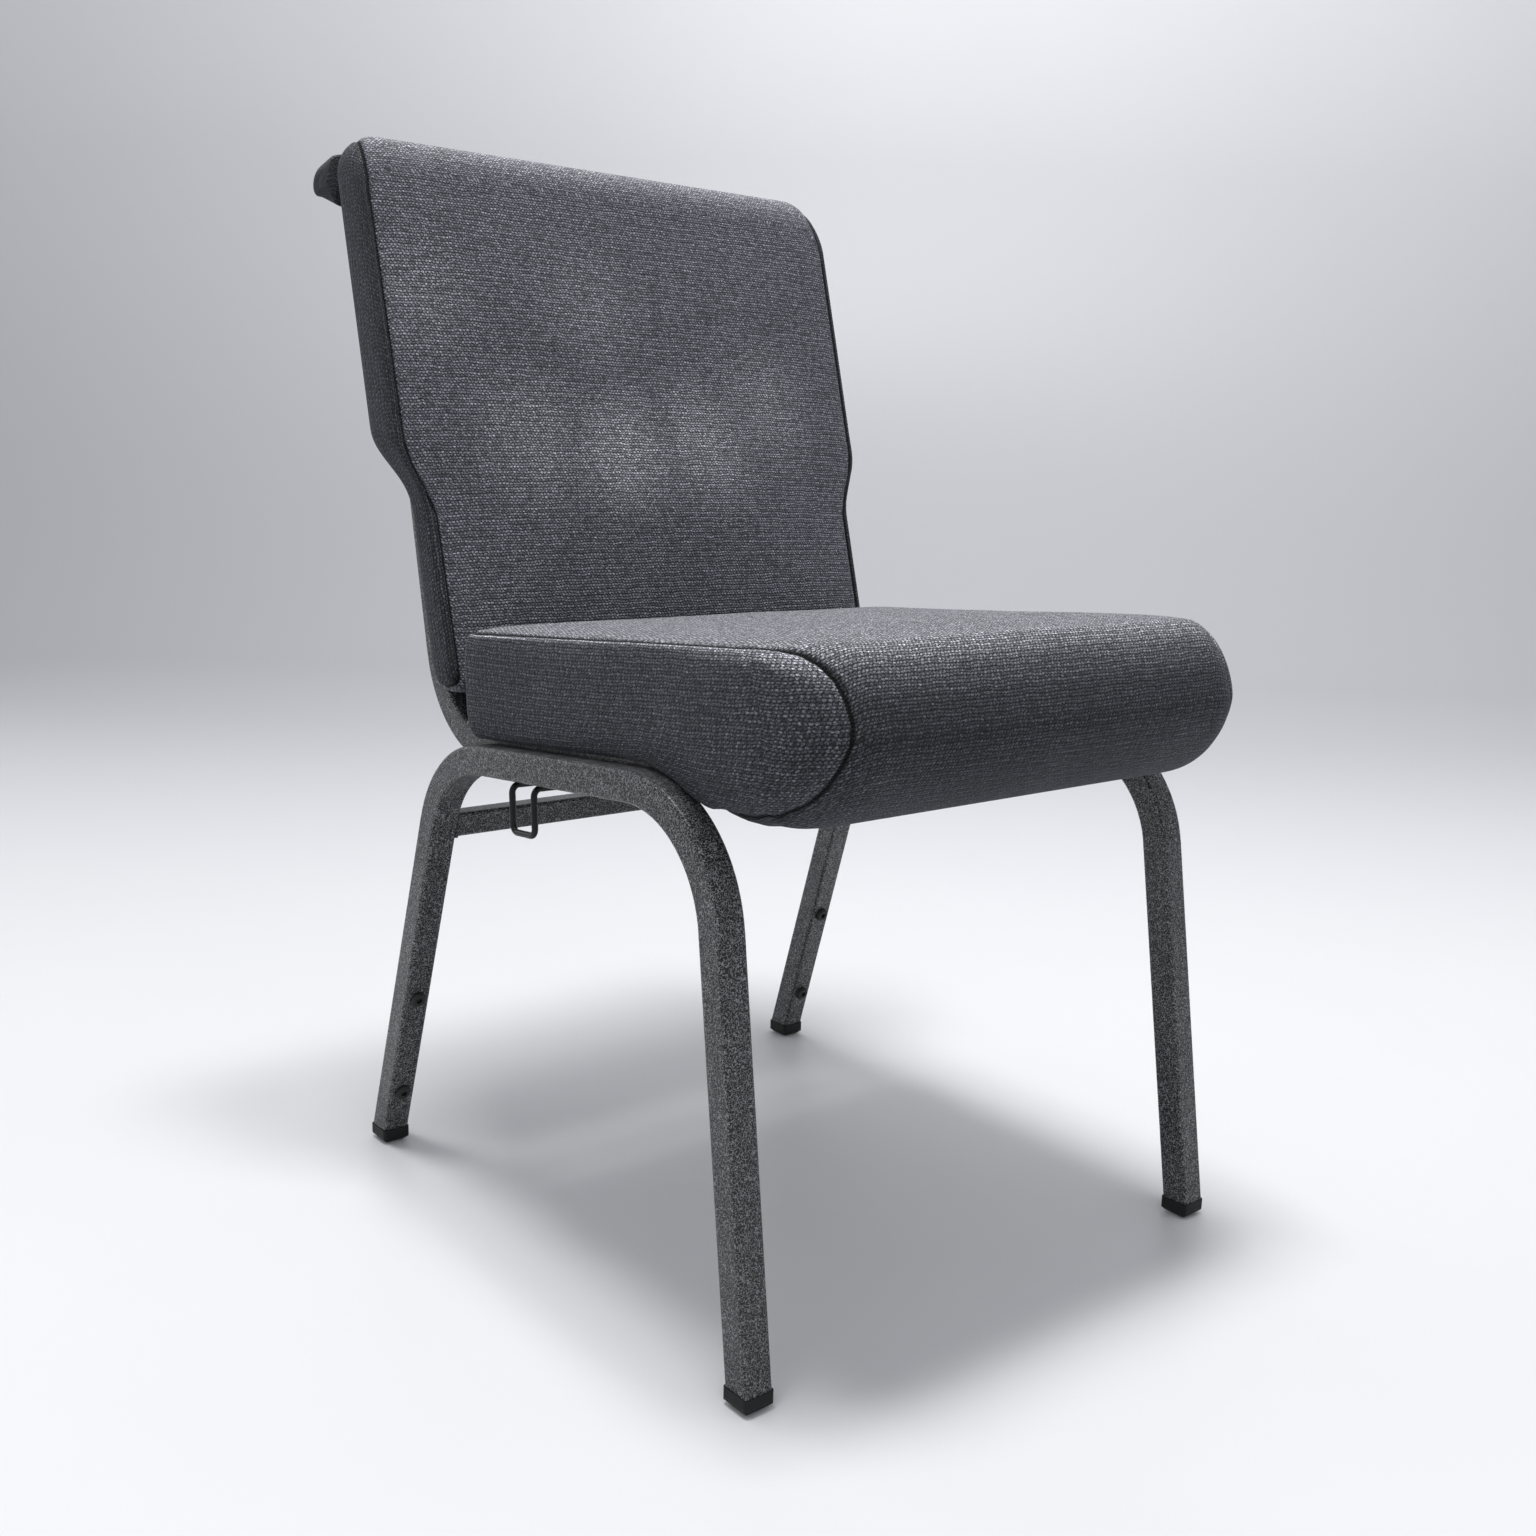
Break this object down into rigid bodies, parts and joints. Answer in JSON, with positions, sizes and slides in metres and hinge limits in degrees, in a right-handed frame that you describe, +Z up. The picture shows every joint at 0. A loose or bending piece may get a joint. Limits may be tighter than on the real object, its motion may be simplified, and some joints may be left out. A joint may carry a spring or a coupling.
{
  "type": "stacking chair",
  "caption": "Armless stacking chair: bent square-tube leg loops and uprights, thick waterfall seat and padded back with a rolled top.",
  "frame": {"origin": "on the floor, below the middle of the chair's bounding box", "axes": "+Z up, the sitter faces -Y, X runs across the chair and +X is the sitter's left"},
  "size_m": [0.473, 0.6255, 0.8232],
  "materials": {
    "frame_coat": "dark silver-vein powder coat, fine texture",
    "wire": "black, satin",
    "foot_plastic": "moulded black plastic",
    "bumper_rubber": "black rubber",
    "charcoal_fabric": "coarse woven charcoal upholstery cloth",
    "dust_cloth": "thin black nonwoven cloth",
    "foam": "cut seating foam",
    "plywood": "bare plywood",
    "zinc_steel": "zinc plated"
  },
  "bodies": {
    "root": {"right_leg_loop": "frame_coat", "left_leg_loop": "frame_coat", "right_back_upright": "frame_coat", "left_back_upright": "frame_coat", "front_seat_crossbar": "frame_coat", "rear_leg_crossbar": "frame_coat", "lower_back_crossbar": "frame_coat", "upper_back_crossbar": "frame_coat", "ganging_loop": "wire", "ganging_hook": "wire", "front_right_foot_cap": "foot_plastic", "front_left_foot_cap": "foot_plastic", "rear_right_foot_cap": "foot_plastic", "rear_left_foot_cap": "foot_plastic", "right_stacking_bumpers": "bumper_rubber", "left_stacking_bumpers": "bumper_rubber", "upright_end_plugs": "foot_plastic", "seat_board": "plywood", "seat_foam": "foam", "seat_cover": "charcoal_fabric", "seat_dust_cloth": "dust_cloth", "seat_screws": "zinc_steel", "seat_tee_nuts": "zinc_steel", "back_board": "plywood", "back_foam": "foam", "back_cover": "charcoal_fabric", "back_right_edge_foam": "foam", "back_left_edge_foam": "foam", "back_rear_panel": "charcoal_fabric", "back_top_roll": "charcoal_fabric", "back_screws": "zinc_steel", "back_tee_nuts": "zinc_steel"}
  },
  "joints": []
}
